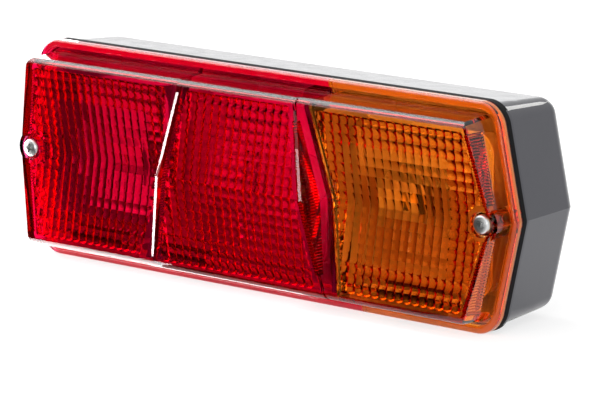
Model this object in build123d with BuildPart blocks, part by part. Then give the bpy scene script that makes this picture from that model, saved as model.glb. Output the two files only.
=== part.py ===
from build123d import *
import os
from math import atan, cos, radians, sin, tan

# Rear lamp cluster with three chambers: tail and stop lamps in red, direction indicator in amber.
# Millimetres. X runs along the lamp, the lens faces -Y and Z is up.
# The origin is the middle of the plane that the two mounting pads rest on.
# Heights are measured forward from the housing's back, in front of the pads.

# Outline from the front: six sides, each end drawn out to a blunt point
lamp_length = 260.0
lamp_height = 92.0
end_vee = 10.2
corner_radius = 11.0
point_radius = 5.0
least_radius = 3.0
vee_angle = atan(end_vee / (lamp_height / 2))

# Housing, a deep moulded tray
pad_height = 2.5
pad_radius = 11.0
housing_depth = 40.0
housing_wall = 2.4
housing_floor = 2.6
housing_draft = 4.0
back_radius = 7.0
rim_depth = 3.2
rim_step = 1.2

# Gasket between rim and lens flange
gasket_thickness = 1.0
gasket_inset = 0.4
gasket_width = 2.9

# Lens: flange with a round bead, and a raised body folded along its middle
flange_thickness = 2.4
bead_width = 3.2
bead_height = 1.5
bead_round = 1.2
lens_wall = 2.5
lens_end_inset = 4.4
lens_top_inset = 4.9
lens_draft = 4.5
lens_edge = 19.3
lens_edge_radius = 3.0
valley_height = 13.1
ridge_height = 25.0

# Middle section of the lens: a trapezium that stands proud as a ridge
centre_half = 38.9
section_lean = 11.3
plain_band = 6.4
lean = radians(section_lean)

# Optics moulded on the inside of the lens
optic_pitch = 4.0
optic_height = 1.1
optic_root = 0.15
optic_edge = 4.0
optic_fold_gap = 0.8
centre_border = 5.2
side_border = 1.0
window_start = 52.0
window_end = 104.0
window_height = 48.0
window_flute = 0.6
end_border = 2.6
flute_pitch = 1.2
flute_height = 0.45
flute_root = 0.3
flute_skin = 1.0
flute_start = 8.0
flute_length = 36.0
step_flute_length = 31.0

# Lens screws and the posts that they pull down on
screw_inset = 10.8
screw_x = lamp_length / 2 - screw_inset
screw_radius = 2.0
screw_clearance = 0.3
screw_head_radius = 4.0
screw_head_height = 2.4
screw_length = 18.0
screw_seat = 11.6
recess_clearance = 1.2
collar_wall = 2.0
collar_height = 12.2
post_radius = 4.6
insert_radius = 3.0
insert_length = 9.0
insert_clearance = 0.05
cross_width = 1.0
cross_length = 4.4
cross_depth = 1.4

# Dividers between the chambers and drain baffles, all part of the housing
divider_thickness = 2.0
divider_gap = 0.5
baffle_length = 26.0
baffle_thickness = 2.2
baffle_inset = 10.2
baffle_height = 54.0
baffle_centres = (-81.5, -35.5, 81.5)
drain_length = 12.0
drain_width = 3.0
drain_height = 10.0

# Reflector pans, pressed from bright sheet
sheet = 0.8
pan_floor = 16.0
pan_rim = 40.0
pan_draft = 12.0
pan_clearance = 13.0
pan_height = lamp_height - 2 * pan_clearance
pan_corner = 9.0
side_pan_inset = 47.5
side_pan_x = lamp_length / 2 - side_pan_inset
side_pan_width = 63.0
centre_pan_width = 66.0
boss_radius = 4.0
boss_hole_radius = 1.3
pan_screw_spread = 16.0
pan_screw_margin = 13.0
pan_screw_z = pan_height / 2 - pan_screw_margin
pan_screw_radius = 1.25
pan_screw_head_radius = 2.8
pan_screw_head_height = 1.8
pan_screw_length = 9.0
pan_hole_clearance = 0.25

# Bulb holders: a bracket on the pan floor, a bayonet sleeve, an insulator and a contact
bulb_axis = 33.0
side_bracket_inset = 20.5
side_bracket_x = side_pan_x - side_bracket_inset
stop_bracket_x = -21.0
bracket_sheet = 1.2
bracket_width = 20.0
bracket_foot = 14.0
bracket_top = 10.0
rivet_along = 9.3
rivet_radius = 1.5
rivet_head_radius = 2.6
rivet_head_height = 1.0
rivet_z = 6.0
sleeve_inner = 7.7
sleeve_wall = 0.8
sleeve_length = 18.0
insulator_thickness = 1.8
insulator_neck_radius = 5.0
insulator_neck_length = 2.0
contact_radius = 1.4
contact_head_radius = 3.2
contact_head_height = 1.4
contact_tail = 1.6
fit_gap = 0.1

# Bulbs
cap_radius = 7.5
cap_length = 15.0
pin_radius = 1.0
pin_reach = 1.4
pin_along = 9.5
slot_turn = 3.0
glass_radius = 12.0
neck_radius = 6.0
neck_sunk = 5.0
neck_length = 2.0
glass_shoulder = 60.0

# Wiring inside: stamped strips and a terminal block
strip = 0.8
feed_width = 6.0
feed_level = 8.0
feed_end = 4.0
earth_width = 8.0
earth_end = 6.0
block_length = 64.0
block_width = 16.0
block_height = 8.4
feed_entry = 6.0
terminal_radius = 1.6
terminal_head_radius = 2.8
terminal_head_height = 1.6
terminal_length = 5.0
notch_gap = 1.0

# Back of the housing: mounting bolts and cable grommet
bolt_x = 76.0
bolt_radius = 3.0
bolt_shoulder_radius = 3.7
bolt_clearance = 0.2
bolt_head_flats = 10.0
bolt_head_height = 4.0
bolt_boss_radius = 9.0
bolt_reach = 18.0
bolt_chamfer = 0.8
grommet_inset = 22.0
grommet_hole_radius = 8.0
grommet_flange_radius = 10.5
grommet_flange = 1.8
cable_radius = 4.0

flange_level = housing_depth + gasket_thickness
edge_level = housing_depth + lens_edge
valley_level = housing_depth + valley_height
ridge_level = housing_depth + ridge_height
seat_level = housing_depth + screw_seat
lens_reach = ridge_height + lens_wall
edge_half = lamp_height / 2 - lens_top_inset - lens_edge * tan(radians(lens_draft))
centre_reach = centre_half + lamp_height / 2 * tan(lean)
baffle_z = baffle_inset - lamp_height / 2
grommet_z = lamp_height / 2 - grommet_inset


def depth(height):
    """Y of a height above the housing's back."""
    return -pad_height - height


def level(height):
    """Plane at a height, facing the front."""
    return Plane.XZ.offset(pad_height + height)


def level_back(height):
    """Plane at a height, facing the back."""
    return Plane(origin=(0, depth(height), 0), x_dir=(1, 0, 0), z_dir=(0, 1, 0))


def vee_outline(inset, point=0.0, mode=Mode.ADD):
    """Six-sided outline of the lamp, set in from its edge, with round corners."""
    half_height = lamp_height / 2 - inset
    tip = lamp_length / 2 - inset / cos(vee_angle)
    corner = tip - half_height * tan(vee_angle)
    rounding = max(corner_radius - inset, least_radius)
    with BuildLine() as outline:
        FilletPolyline(
            (tip, 0), (corner, half_height), (-corner, half_height),
            (-tip, 0), (-corner, -half_height), (corner, -half_height),
            radius=[point, rounding, rounding, point, rounding, rounding],
            close=True,
        )
    make_face(outline.edges(), mode=mode)


def centre_outline(inset, mode=Mode.ADD):
    """Trapezium of the middle section, its leaning sides set in."""
    half = centre_half - inset / cos(lean)
    half_height = lamp_height / 2
    shift = half_height * tan(lean)
    with BuildLine() as outline:
        Polyline(
            (half - shift, half_height), (shift - half, half_height),
            (-half - shift, -half_height), (half + shift, -half_height),
            close=True,
        )
    make_face(outline.edges(), mode=mode)


def saw_tooth(start, end, pitch, height, root):
    """Row of vee teeth along the sketch's X, on a strip that is sunk as deep as it is proud."""
    count = round((end - start) / pitch)
    half_step = (end - start) / count / 2
    crests = [(start + i * half_step, root + height * (i % 2)) for i in range(2 * count + 1)]
    with BuildLine() as teeth:
        Polyline((start, -root), *crests, (end, -root), close=True)
    make_face(teeth.edges())


def folded_bar(fold_level, shrink):
    """Bar along the lamp with the lens's folded front, all its faces set in."""
    slope = tan(radians(lens_draft))
    foot = edge_half + edge_level * slope
    edge_round = 0 if shrink else lens_edge_radius
    with BuildPart() as bar:
        with BuildSketch(Plane.YZ):
            with BuildLine():
                FilletPolyline(
                    (depth(0), foot), (depth(edge_level), edge_half), (depth(fold_level), 0),
                    (depth(edge_level), -edge_half), (depth(0), -foot),
                    radius=[0, edge_round, 0, edge_round, 0],
                    close=True,
                )
            make_face()
            if shrink:
                offset(amount=-shrink, kind=Kind.INTERSECTION)
        extrude(amount=lamp_length / 2, both=True)
    return bar.part


def lens_form(shrink):
    """Raised body of the lens as a solid, all its faces set in by the same amount."""
    with BuildPart() as ends:
        with BuildSketch(level(housing_depth)):
            vee_outline(lens_end_inset + shrink)
        extrude(amount=lens_reach, taper=lens_draft)
    with BuildPart() as middle:
        with BuildSketch(level(housing_depth)):
            centre_outline(shrink)
        extrude(amount=lens_reach)
    with BuildPart() as form:
        add(folded_bar(ridge_level, shrink))
        add(middle.part, mode=Mode.INTERSECT)
        add(folded_bar(valley_level, shrink))
        add(ends.part, mode=Mode.INTERSECT)
    return form.part


def optic_seat(fold_level):
    """Where a section's optics start behind its fold, the way up its slope, and how far they run."""
    rise = Vector(0, fold_level - edge_level, edge_half)
    along = rise.normalized()
    inward = along.cross(Vector(1, 0, 0))
    start = Vector(0, depth(fold_level), 0) + inward * lens_wall + along * optic_fold_gap
    return start, along, rise.length - optic_edge - optic_fold_gap


def optic_columns(fold_level, first, last, height):
    """Vee flutes on the inside of a folded section, running away from its fold both ways."""
    start, along, length = optic_seat(fold_level)
    with BuildPart() as columns:
        with BuildSketch(Plane(origin=start, x_dir=(1, 0, 0), z_dir=along)):
            saw_tooth(first, last, optic_pitch, height, optic_root)
        extrude(amount=length)
        mirror(about=Plane.XY)
    return columns.part


def optic_field(fold_level, first, last):
    """Grid of small pyramids on the inside of a folded section, above and below its fold."""
    start, along, length = optic_seat(fold_level)
    with BuildPart() as field:
        with BuildSketch(Plane(origin=start + Vector(last, 0, 0), x_dir=along, z_dir=(-1, 0, 0))):
            saw_tooth(0, length, optic_pitch, optic_height, optic_root)
        extrude(amount=last - first)
        mirror(about=Plane.XY)
        add(optic_columns(fold_level, first, last, optic_height), mode=Mode.INTERSECT)
    return field.part


# Lens in one piece, before it is parted into red and amber
lens_skin = lens_form(flute_skin)
lens_hollow = lens_form(lens_wall)
recess_radius = screw_head_radius + recess_clearance
collar_radius = recess_radius + collar_wall
with BuildPart() as lens:
    with BuildSketch(level(flange_level)):
        vee_outline(0, point_radius)
    extrude(amount=flange_thickness)
    with BuildSketch(level(flange_level + flange_thickness)):
        vee_outline(0, point_radius)
        vee_outline(bead_width, point_radius, mode=Mode.SUBTRACT)
    extrude(amount=bead_height)
    fillet(lens.faces().filter_by(Axis.Y).sort_by(Axis.Y)[0].edges(), bead_round)
    add(lens_form(0))
    with BuildSketch(level(flange_level)):
        with Locations((screw_x, 0), (-screw_x, 0)):
            Circle(collar_radius)
    extrude(amount=collar_height - gasket_thickness)
    add(lens_hollow, mode=Mode.SUBTRACT)
    with BuildSketch(level(housing_depth)):
        with Locations((screw_x, 0), (-screw_x, 0)):
            Circle(post_radius)
    extrude(amount=screw_seat)
    with BuildSketch(level(seat_level)):
        with Locations((screw_x, 0), (-screw_x, 0)):
            Circle(recess_radius)
    extrude(amount=lens_edge, mode=Mode.SUBTRACT)
    with BuildSketch(level(housing_depth)):
        with Locations((screw_x, 0), (-screw_x, 0)):
            Circle(screw_radius + screw_clearance)
    extrude(amount=lens_edge, mode=Mode.SUBTRACT)

# Fine flutes inside the end walls, from the screw collars to the corners
end_inset = lens_end_inset + lens_wall + flute_start * tan(radians(lens_draft))
end_tip = lamp_length / 2 - end_inset / cos(vee_angle)
wall_lean = tan(radians(lens_draft))
with BuildPart() as end_flutes:
    with BuildSketch(
        Plane(
            origin=(end_tip, depth(housing_depth + flute_start), 0),
            x_dir=(-sin(vee_angle), 0, cos(vee_angle)),
            z_dir=(0, -1, 0),
        )
    ):
        saw_tooth(collar_radius, flute_length, flute_pitch, flute_height, flute_root)
    extrude(amount=lens_edge, dir=(-wall_lean * cos(vee_angle), -1, -wall_lean * sin(vee_angle)))
    add(lens_skin, mode=Mode.INTERSECT)
    mirror(about=Plane.XY)

# Fine flutes inside the two walls that step up from the valleys to the ridge
step_half = centre_half - lens_wall / cos(lean)
with BuildPart() as step_flutes:
    with BuildSketch(
        Plane(
            origin=(step_half, depth(housing_depth), 0),
            x_dir=(-sin(lean), 0, cos(lean)),
            z_dir=(0, -1, 0),
        )
    ):
        saw_tooth(-step_flute_length, step_flute_length, flute_pitch, flute_height, flute_root)
    extrude(amount=lens_reach)
    add(lens_skin, mode=Mode.INTERSECT)
    add(folded_bar(valley_level, lens_wall), mode=Mode.SUBTRACT)
    mirror(about=Plane.YZ)

# Window of plain flutes in the middle of a side section, made on the indicator's side
window_middle = (window_start + window_end) / 2
with BuildPart() as window_flutes:
    add(optic_columns(valley_level, window_start, window_end, window_flute))
    with BuildSketch(level(housing_depth)):
        with Locations((window_middle, 0)):
            Rectangle(window_end - window_start, window_height)
    extrude(amount=lens_reach, mode=Mode.INTERSECT)

# Optics of the side section, round the window
with BuildPart() as side_optics:
    add(optic_field(valley_level, centre_half, lamp_length / 2 - lens_end_inset))
    with BuildSketch(level(housing_depth)):
        vee_outline(lens_end_inset + lens_wall + end_border)
        centre_outline(-plain_band - side_border, mode=Mode.SUBTRACT)
        with Locations((screw_x, 0)):
            Circle(collar_radius, mode=Mode.SUBTRACT)
        with Locations((window_middle, 0)):
            Rectangle(window_end - window_start, window_height, mode=Mode.SUBTRACT)
    extrude(amount=lens_reach, mode=Mode.INTERSECT)
    add(window_flutes.part)

# Optics of the middle section
with BuildPart() as centre_optics:
    add(optic_field(ridge_level, -centre_reach, centre_reach))
    with BuildSketch(level(housing_depth)):
        centre_outline(centre_border)
    extrude(amount=lens_reach, mode=Mode.INTERSECT)

# Red part of the lens, over the tail and stop lamps
colour_joint = Plane(
    origin=(centre_half + plain_band / cos(lean), 0, 0),
    x_dir=(0, 1, 0),
    z_dir=(cos(lean), 0, sin(lean)),
)
with BuildPart() as lens_red:
    add(lens.part)
    split(bisect_by=colour_joint, keep=Keep.BOTTOM)
    add(
        [
            step_flutes.part,
            centre_optics.part,
            side_optics.part.mirror(Plane.YZ),
            end_flutes.part.mirror(Plane.YZ),
        ]
    )

# Amber part of the lens, over the indicator
with BuildPart() as lens_amber:
    add(lens.part)
    split(bisect_by=colour_joint, keep=Keep.TOP)
    add([side_optics.part, end_flutes.part])

# Space inside the housing
with BuildPart() as cavity:
    with BuildSketch(level_back(housing_depth)):
        vee_outline(rim_step + housing_wall)
    extrude(amount=housing_depth - housing_floor, taper=housing_draft)
    chamfer(cavity.faces().sort_by(Axis.Y)[-1].edges(), back_radius - housing_wall)

# Dividers, leaning like the sides of the middle section and ending just behind the lens
divider_inset = -plain_band / 2
earth_level = pan_floor - strip / 2
with BuildPart() as inside:
    add(cavity.part)
    add(lens_form(lens_wall + divider_gap))
with BuildPart() as dividers:
    with BuildSketch(level(housing_floor)):
        centre_outline(divider_inset - divider_thickness / 2)
        centre_outline(divider_inset + divider_thickness / 2, mode=Mode.SUBTRACT)
    extrude(amount=edge_level)
    add(inside.part, mode=Mode.INTERSECT)
    with BuildSketch(Plane.YZ):
        with Locations((depth(feed_level), 0)):
            Rectangle(strip + 2 * notch_gap, feed_width + 2 * notch_gap)
        with Locations((depth(earth_level), pan_screw_z)):
            Rectangle(strip + 2 * notch_gap, earth_width + 2 * notch_gap)
    extrude(amount=lamp_length / 2, both=True, mode=Mode.SUBTRACT)

# Housing
pan_centres = (-side_pan_x, 0, side_pan_x)
lower_screws = [(x - pan_screw_spread, -pan_screw_z) for x in pan_centres]
upper_screws = [(x + pan_screw_spread, pan_screw_z) for x in pan_centres]
bolt_spots = [(-bolt_x, 0), (bolt_x, 0)]
post_spots = [(-screw_x, 0), (screw_x, 0)]
with BuildPart() as housing:
    with BuildSketch(level_back(housing_depth - rim_depth)):
        vee_outline(rim_step)
    extrude(amount=housing_depth - rim_depth, taper=housing_draft)
    fillet(housing.faces().sort_by(Axis.Y)[-1].edges(), back_radius)
    with BuildSketch(level(housing_depth - rim_depth)):
        vee_outline(0, point_radius)
    extrude(amount=rim_depth)
    with BuildSketch(Plane.XZ):
        with Locations(*bolt_spots):
            Circle(pad_radius)
    extrude(amount=pad_height + housing_floor)
    add(cavity.part, mode=Mode.SUBTRACT)
    add(dividers.part)
    with BuildSketch(level(housing_floor / 2)):
        with Locations(*post_spots):
            Circle(post_radius)
    extrude(amount=housing_depth - housing_floor / 2)
    with BuildSketch(level(housing_depth)):
        with Locations(*post_spots):
            Circle(insert_radius + insert_clearance)
    extrude(amount=-insert_length, mode=Mode.SUBTRACT)
    with BuildSketch(level(housing_floor / 2)):
        with Locations(*[(x, baffle_z) for x in baffle_centres]):
            Rectangle(baffle_length, baffle_thickness)
    extrude(amount=baffle_height - housing_floor / 2)
    with BuildSketch(Plane.XY.offset(-lamp_height / 2)):
        with Locations(*[(x, depth(drain_height)) for x in baffle_centres]):
            Rectangle(drain_length, drain_width)
    extrude(amount=lamp_height / 2 + baffle_z - baffle_thickness, mode=Mode.SUBTRACT)
    for spots, boss_top in ((lower_screws, pan_floor), (upper_screws, pan_floor - strip)):
        with BuildSketch(level(housing_floor / 2)):
            with Locations(*spots):
                Circle(boss_radius)
        extrude(amount=boss_top - housing_floor / 2)
        with BuildSketch(level(boss_top)):
            with Locations(*spots):
                Circle(boss_hole_radius)
        extrude(amount=-pan_screw_length, mode=Mode.SUBTRACT)
    with BuildSketch(level(housing_floor / 2)):
        with Locations(*bolt_spots):
            Circle(bolt_boss_radius)
    extrude(amount=bolt_head_height + housing_floor / 2)
    with BuildSketch(level(housing_floor)):
        with Locations(*bolt_spots):
            RegularPolygon(bolt_head_flats / 2 + fit_gap, 6, major_radius=False)
    extrude(amount=bolt_head_height, mode=Mode.SUBTRACT)
    with BuildSketch(Plane.XZ):
        with Locations(*bolt_spots):
            Circle(bolt_shoulder_radius + bolt_clearance)
        with Locations((0, grommet_z)):
            Circle(grommet_hole_radius)
    extrude(amount=pad_height + housing_floor, mode=Mode.SUBTRACT)

# Gasket, a flat rubber ring on the rim
with BuildPart() as gasket:
    with BuildSketch(level(housing_depth)):
        vee_outline(gasket_inset, point_radius)
        vee_outline(gasket_inset + gasket_width, point_radius, mode=Mode.SUBTRACT)
    extrude(amount=gasket_thickness)

# Brass inserts in the posts
with BuildPart() as screw_inserts:
    with BuildSketch(level(housing_depth)):
        with Locations(*post_spots):
            Circle(insert_radius)
            Circle(screw_radius + insert_clearance, mode=Mode.SUBTRACT)
    extrude(amount=-insert_length)

# Pan head screws with a cross recess, which hold the lens
with BuildPart() as lens_screws:
    with BuildSketch(level(seat_level)):
        with Locations(*post_spots):
            Circle(screw_head_radius)
    extrude(amount=screw_head_height)
    fillet(lens_screws.faces().filter_by(Axis.Y).group_by(Axis.Y)[0].edges(), screw_head_height / 2)
    with BuildSketch(level(seat_level)):
        with Locations(*post_spots):
            Circle(screw_radius)
    extrude(amount=-screw_length)
    with BuildSketch(level(seat_level + screw_head_height)):
        with Locations(*post_spots):
            Rectangle(cross_length, cross_width)
            Rectangle(cross_width, cross_length)
    extrude(amount=-cross_depth, mode=Mode.SUBTRACT)

# Mounting bolts, held by the hexagon pockets in the housing's floor, with a shoulder in the pads
with BuildPart() as mounting_bolts:
    with BuildSketch(level(housing_floor)):
        with Locations(*bolt_spots):
            RegularPolygon(bolt_head_flats / 2, 6, major_radius=False)
    extrude(amount=bolt_head_height)
    with BuildSketch(level_back(housing_floor)):
        with Locations(*bolt_spots):
            Circle(bolt_shoulder_radius)
    extrude(amount=housing_floor + pad_height)
    with BuildSketch(level_back(-pad_height)):
        with Locations(*bolt_spots):
            Circle(bolt_radius)
    extrude(amount=bolt_reach)
    chamfer(mounting_bolts.faces().filter_by(Axis.Y).group_by(Axis.Y)[-1].edges(), bolt_chamfer)

# Rubber grommet in the back, for the cable
with BuildPart() as grommet:
    with BuildSketch(level(-grommet_flange)):
        with Locations((0, grommet_z)):
            Circle(grommet_flange_radius)
    extrude(amount=grommet_flange)
    with BuildSketch(level(0)):
        with Locations((0, grommet_z)):
            Circle(grommet_hole_radius)
    extrude(amount=housing_floor)
    with BuildSketch(level(housing_floor)):
        with Locations((0, grommet_z)):
            Circle(grommet_flange_radius)
    extrude(amount=grommet_flange)
    with BuildSketch(level(-grommet_flange)):
        with Locations((0, grommet_z)):
            Circle(cable_radius)
    extrude(amount=housing_floor + 2 * grommet_flange, mode=Mode.SUBTRACT)

# Where each bulb holder stands: its bracket's place and the way that its bulb points
holders = {
    "tail": (-side_pan_x, side_pan_width, -side_bracket_x, -1),
    "stop": (0, centre_pan_width, stop_bracket_x, 1),
    "indicator": (side_pan_x, side_pan_width, side_bracket_x, 1),
}
feed_back = insulator_neck_length + strip / 2


def holder_plane(place, way):
    """Plane on a bracket's face, looking along its bulb."""
    return Plane(origin=(place, depth(bulb_axis), 0), x_dir=(0, 0, 1), z_dir=(way, 0, 0))


bulb_planes = [holder_plane(place, way) for _, _, place, way in holders.values()]


def reflector(centre, width, place, way):
    """Pressed pan behind one section of the lens."""
    with BuildPart() as pan:
        with BuildSketch(level_back(pan_rim)):
            with Locations((centre, 0)):
                RectangleRounded(width, pan_height, pan_corner)
        extrude(amount=pan_rim - pan_floor, taper=pan_draft)
        with BuildSketch(level_back(pan_rim)):
            with Locations((centre, 0)):
                RectangleRounded(width - 2 * sheet, pan_height - 2 * sheet, pan_corner - sheet)
        extrude(amount=pan_rim - pan_floor - sheet, taper=pan_draft, mode=Mode.SUBTRACT)
        with BuildSketch(level(pan_floor)):
            with Locations(
                (centre - pan_screw_spread, -pan_screw_z), (centre + pan_screw_spread, pan_screw_z)
            ):
                Circle(pan_screw_radius + pan_hole_clearance)
            with Locations((place + way * rivet_along, rivet_z), (place + way * rivet_along, -rivet_z)):
                Circle(rivet_radius)
            with Locations((place - way * feed_back, 0)):
                Rectangle(strip + 2 * notch_gap, feed_width + 2 * notch_gap)
        extrude(amount=sheet, mode=Mode.SUBTRACT)
    return pan.part


def bracket(place, way):
    """Bent strip that carries a bayonet sleeve, riveted to the pan's floor."""
    foot_level = pan_floor + sheet
    back = place - way * bracket_sheet
    toe = place + way * bracket_foot
    with BuildPart() as bent:
        with BuildSketch(Plane.XY.offset(-bracket_width / 2)):
            with BuildLine():
                Polyline(
                    (back, depth(foot_level)), (toe, depth(foot_level)),
                    (toe, depth(foot_level + bracket_sheet)), (place, depth(foot_level + bracket_sheet)),
                    (place, depth(bulb_axis + bracket_top)), (back, depth(bulb_axis + bracket_top)),
                    close=True,
                )
            make_face()
        extrude(amount=bracket_width)
        with BuildSketch(holder_plane(place, way)):
            Circle(insulator_neck_radius + fit_gap)
        extrude(amount=-bracket_sheet, mode=Mode.SUBTRACT)
        with BuildSketch(level(foot_level)):
            with Locations((place + way * rivet_along, rivet_z), (place + way * rivet_along, -rivet_z)):
                Circle(rivet_radius)
        extrude(amount=bracket_sheet, mode=Mode.SUBTRACT)
    return bent.part


# Rivets through bracket feet and pan floors
rivet_spots = [
    (place + way * rivet_along, side * rivet_z)
    for _, _, place, way in holders.values()
    for side in (-1, 1)
]
with BuildPart() as rivets:
    for start, radius, length in (
        (pan_floor - rivet_head_height, rivet_head_radius, rivet_head_height),
        (pan_floor, rivet_radius, sheet + bracket_sheet),
        (pan_floor + sheet + bracket_sheet, rivet_head_radius, rivet_head_height),
    ):
        with BuildSketch(level(start)):
            with Locations(*rivet_spots):
                Circle(radius)
        extrude(amount=length)

# Screws that hold the pans on the housing's bosses
with BuildPart() as pan_screws:
    with BuildSketch(level(pan_floor + sheet)):
        with Locations(*lower_screws, *upper_screws):
            Circle(pan_screw_head_radius)
    extrude(amount=pan_screw_head_height)
    with BuildSketch(level(pan_floor + sheet)):
        with Locations(*lower_screws, *upper_screws):
            Circle(pan_screw_radius)
    extrude(amount=-pan_screw_length)

# Bayonet sleeves with their two hooked slots
sleeve_outer = sleeve_inner + sleeve_wall
cap_start = insulator_thickness + contact_head_height
slot_half = pin_radius + 2 * fit_gap
with BuildPart() as bulb_sleeves:
    for base in bulb_planes:
        with BuildSketch(base):
            Circle(sleeve_outer)
            Circle(sleeve_inner, mode=Mode.SUBTRACT)
        extrude(amount=sleeve_length)
        hook = base.offset(cap_start + pin_along - slot_half)
        with BuildSketch(hook):
            for side in (-1, 1):
                with Locations((side * slot_turn / 2, side * sleeve_outer)):
                    Rectangle(slot_turn + 2 * slot_half, sleeve_outer)
        extrude(amount=2 * slot_half, mode=Mode.SUBTRACT)
        with BuildSketch(hook):
            for side in (-1, 1):
                with Locations((side * slot_turn, side * sleeve_outer)):
                    Rectangle(2 * slot_half, sleeve_outer)
        extrude(amount=sleeve_length, mode=Mode.SUBTRACT)

# Insulators between the brackets and the contacts
with BuildPart() as insulators:
    for base in bulb_planes:
        with BuildSketch(base):
            Circle(sleeve_inner - fit_gap)
        extrude(amount=insulator_thickness)
        with BuildSketch(base):
            Circle(insulator_neck_radius)
        extrude(amount=-insulator_neck_length)
        with BuildSketch(base.offset(-insulator_neck_length)):
            Circle(contact_radius + fit_gap)
        extrude(amount=insulator_neck_length + insulator_thickness, mode=Mode.SUBTRACT)

# Contacts, riveted over behind the feed strips
with BuildPart() as contacts:
    for base in bulb_planes:
        with BuildSketch(base.offset(insulator_thickness)):
            Circle(contact_head_radius)
        extrude(amount=contact_head_height)
        with BuildSketch(base.offset(insulator_thickness)):
            Circle(contact_radius)
        extrude(amount=-insulator_thickness - insulator_neck_length - contact_tail)

# Bulb caps with their bayonet pins
with BuildPart() as bulb_caps:
    for base in bulb_planes:
        with BuildSketch(base.offset(cap_start)):
            Circle(cap_radius)
        extrude(amount=cap_length)
        pin_centre = base.origin + base.z_dir * (cap_start + pin_along)
        with BuildSketch(Plane(origin=pin_centre, x_dir=base.z_dir, z_dir=base.y_dir)):
            Circle(pin_radius)
        extrude(amount=cap_radius + pin_reach, both=True)
        with BuildSketch(base.offset(cap_start + cap_length)):
            Circle(neck_radius + fit_gap)
        extrude(amount=-neck_sunk, mode=Mode.SUBTRACT)

# Bulb glasses: a neck, a cone and a round end
neck_start = cap_start + cap_length - neck_sunk
neck_end = cap_start + cap_length + neck_length
shoulder = radians(glass_shoulder)
shoulder_along = neck_end + (glass_radius * sin(shoulder) - neck_radius) * tan(shoulder)
glass_centre = shoulder_along + glass_radius * cos(shoulder)
with BuildPart() as bulb_glasses:
    for base in bulb_planes:
        with BuildSketch(Plane(origin=base.origin, x_dir=base.z_dir, z_dir=base.x_dir)):
            with BuildLine():
                Polyline(
                    (glass_centre + glass_radius, 0), (neck_start, 0), (neck_start, neck_radius),
                    (neck_end, neck_radius), (shoulder_along, glass_radius * sin(shoulder)),
                )
                ThreePointArc(
                    (shoulder_along, glass_radius * sin(shoulder)),
                    (glass_centre, glass_radius),
                    (glass_centre + glass_radius, 0),
                )
            make_face()
        revolve(axis=Axis(base.origin, base.z_dir))

# Terminal block on the housing's floor
block_top = housing_floor + block_height
stop_terminal = stop_bracket_x - feed_back + 2 * feed_end
end_terminal = block_length / 2 - feed_end
clamp_length = block_top - feed_level - strip / 2
with BuildPart() as terminal_block:
    with BuildSketch(level(housing_floor)):
        Rectangle(block_length, block_width)
    extrude(amount=block_height)
    chamfer(terminal_block.faces().sort_by(Axis.Y)[0].edges(), notch_gap)
    with BuildSketch(Plane.YZ.offset(block_length / 2)):
        with Locations((depth(feed_level), 0)):
            Rectangle(strip + 2 * fit_gap, feed_width + 2 * fit_gap)
    extrude(amount=-feed_entry, mode=Mode.SUBTRACT)
    with BuildSketch(Plane.YZ.offset(-block_length / 2)):
        with Locations((depth(feed_level), 0)):
            Rectangle(strip + 2 * fit_gap, feed_width + 2 * fit_gap)
    extrude(amount=feed_entry, mode=Mode.SUBTRACT)
    with BuildSketch(level(block_top)):
        with Locations((-end_terminal, 0), (stop_terminal, 0), (0, 0), (end_terminal, 0)):
            Circle(terminal_radius + fit_gap)
    extrude(amount=-clamp_length, mode=Mode.SUBTRACT)
    with BuildSketch(level(block_top)):
        with Locations((stop_terminal, 0), (0, 0)):
            Circle(terminal_radius + fit_gap)
    extrude(amount=-terminal_length, mode=Mode.SUBTRACT)

# Terminal screws: two clamp strips inside the block, two hold strips on top of it
with BuildPart() as terminal_screws:
    for spots, seat, length in (
        ([(-end_terminal, 0), (end_terminal, 0)], block_top, clamp_length),
        ([(stop_terminal, 0), (0, 0)], block_top + strip, terminal_length),
    ):
        with BuildSketch(level(seat)):
            with Locations(*spots):
                Circle(terminal_head_radius)
        extrude(amount=terminal_head_height)
        with BuildSketch(level(seat)):
            with Locations(*spots):
                Circle(terminal_radius)
        extrude(amount=-length)


def feed_strip(place, way, run_level, run_end, hole=None):
    """Strip from a bulb's contact down to the terminal block, then along to its terminal."""
    across = place - way * feed_back
    with BuildPart() as feed:
        with BuildSketch(Plane.XY.offset(-feed_width / 2)):
            with BuildLine():
                Polyline(
                    (across, depth(bulb_axis + feed_width / 2)),
                    (across, depth(run_level)),
                    (run_end, depth(run_level)),
                )
            trace(line_width=strip)
        extrude(amount=feed_width)
        with BuildSketch(holder_plane(place, way).offset(-insulator_neck_length)):
            Circle(contact_radius + fit_gap)
        extrude(amount=-strip, mode=Mode.SUBTRACT)
        if hole is not None:
            with BuildSketch(level(run_level - strip / 2)):
                with Locations((hole, 0)):
                    Circle(terminal_radius + fit_gap)
            extrude(amount=strip, mode=Mode.SUBTRACT)
    return feed.part


# Earth strip under the pans, with a tab bent down to its terminal
earth_length = 2 * (side_pan_x + earth_end)
tab_level = block_top + strip / 2
with BuildPart() as earth_strip:
    with BuildSketch(level(pan_floor - strip)):
        with Locations((pan_screw_spread, pan_screw_z)):
            Rectangle(earth_length, earth_width)
        with Locations(*upper_screws):
            Circle(pan_screw_radius + pan_hole_clearance, mode=Mode.SUBTRACT)
    extrude(amount=strip)
    with BuildSketch(Plane.YZ.offset(-earth_width / 2)):
        with BuildLine():
            Polyline(
                (depth(earth_level), pan_screw_z),
                (depth(earth_level), pan_screw_z - earth_width),
                (depth(tab_level), block_width / 2),
                (depth(tab_level), -earth_width / 2),
            )
        trace(line_width=strip)
    extrude(amount=earth_width)
    with BuildSketch(level(block_top)):
        Circle(terminal_radius + fit_gap)
    extrude(amount=strip, mode=Mode.SUBTRACT)

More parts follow.
